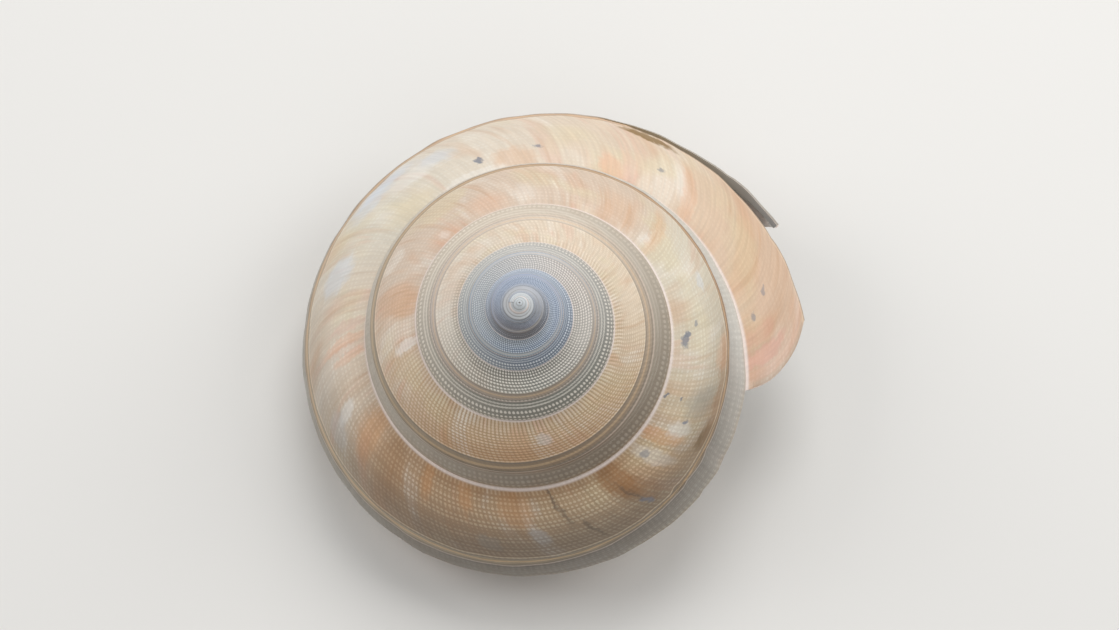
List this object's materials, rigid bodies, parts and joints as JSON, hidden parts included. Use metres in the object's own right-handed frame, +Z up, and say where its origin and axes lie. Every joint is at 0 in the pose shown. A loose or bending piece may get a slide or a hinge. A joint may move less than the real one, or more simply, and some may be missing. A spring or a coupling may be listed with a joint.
{
  "type": "slit shell",
  "caption": "Hollow coiled sea shell with a low stepped spire, a beaded surface and a narrow slit that runs back from its lip.",
  "frame": {"origin": "on the ground, under the middle of the shell's outline as it lies", "axes": "+Z up from the ground, with the spire up and leaning about 15 degrees towards -Y; +X towards the open lip"},
  "size_m": [0.0858, 0.0826, 0.0552],
  "materials": {
    "shell": "satin, cream and tan with orange flames, grey near the spire's tip, nacre inside"
  },
  "bodies": {
    "root": {"shell": "shell"}
  },
  "joints": []
}
